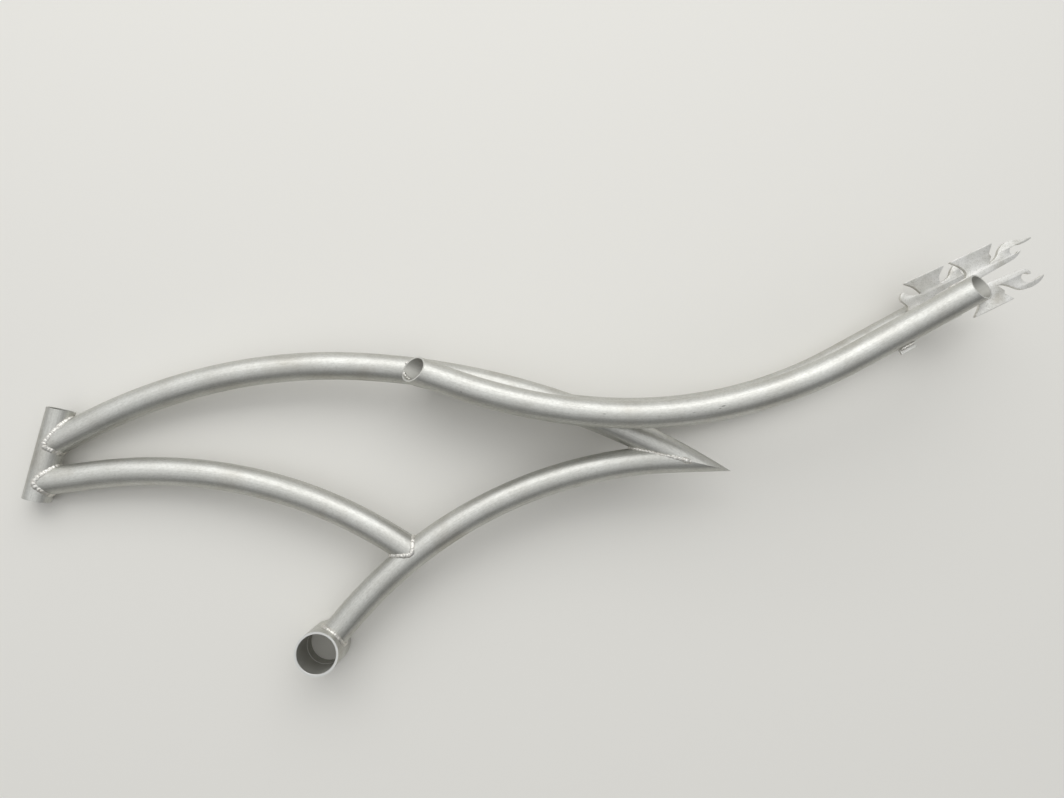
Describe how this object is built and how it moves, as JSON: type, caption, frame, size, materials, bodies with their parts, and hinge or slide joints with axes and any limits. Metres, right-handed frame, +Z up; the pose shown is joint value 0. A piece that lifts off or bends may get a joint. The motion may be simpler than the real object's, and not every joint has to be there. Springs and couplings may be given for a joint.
{
  "type": "bicycle frame",
  "caption": "Bare welded steel bicycle frame with curved tubes, a long low tail and flame-shaped dropouts, lying on its right side.",
  "frame": {"origin": "centre of the bounding box at its lowest level, on the surface that the frame lies on", "axes": "+X from the head tube to the dropouts, +Y from the bottom bracket to the top tube, +Z up, from the right side of the bicycle to its left side"},
  "size_m": [1.3656, 0.577, 0.2064],
  "materials": {
    "tube_steel": "bare drawn steel tube with a satin sheen",
    "plate_steel": "bare steel plate with flame-cut edges",
    "weld_steel": "bright rippled weld bead"
  },
  "bodies": {
    "root": {"head_tube": "tube_steel", "top_tube": "tube_steel", "down_tube": "tube_steel", "seat_tube": "tube_steel", "bottom_bracket_shell": "tube_steel", "left_stay": "tube_steel", "right_stay": "tube_steel", "left_dropout": "plate_steel", "right_dropout": "plate_steel", "brake_arm_tab": "plate_steel", "weld_top_tube_head": "weld_steel", "weld_down_tube_head": "weld_steel", "weld_down_tube_seat_tube": "weld_steel", "weld_seat_tube_bottom_bracket": "weld_steel", "weld_seat_tube_top_tube": "weld_steel", "weld_left_stay_top": "weld_steel", "weld_left_stay_front": "weld_steel", "weld_right_stay_top": "weld_steel", "weld_right_stay_front": "weld_steel", "weld_left_dropout_upper": "weld_steel", "weld_left_dropout_lower": "weld_steel", "weld_right_dropout_upper": "weld_steel", "weld_right_dropout_lower": "weld_steel", "weld_brake_arm_tab": "weld_steel"}
  },
  "joints": []
}
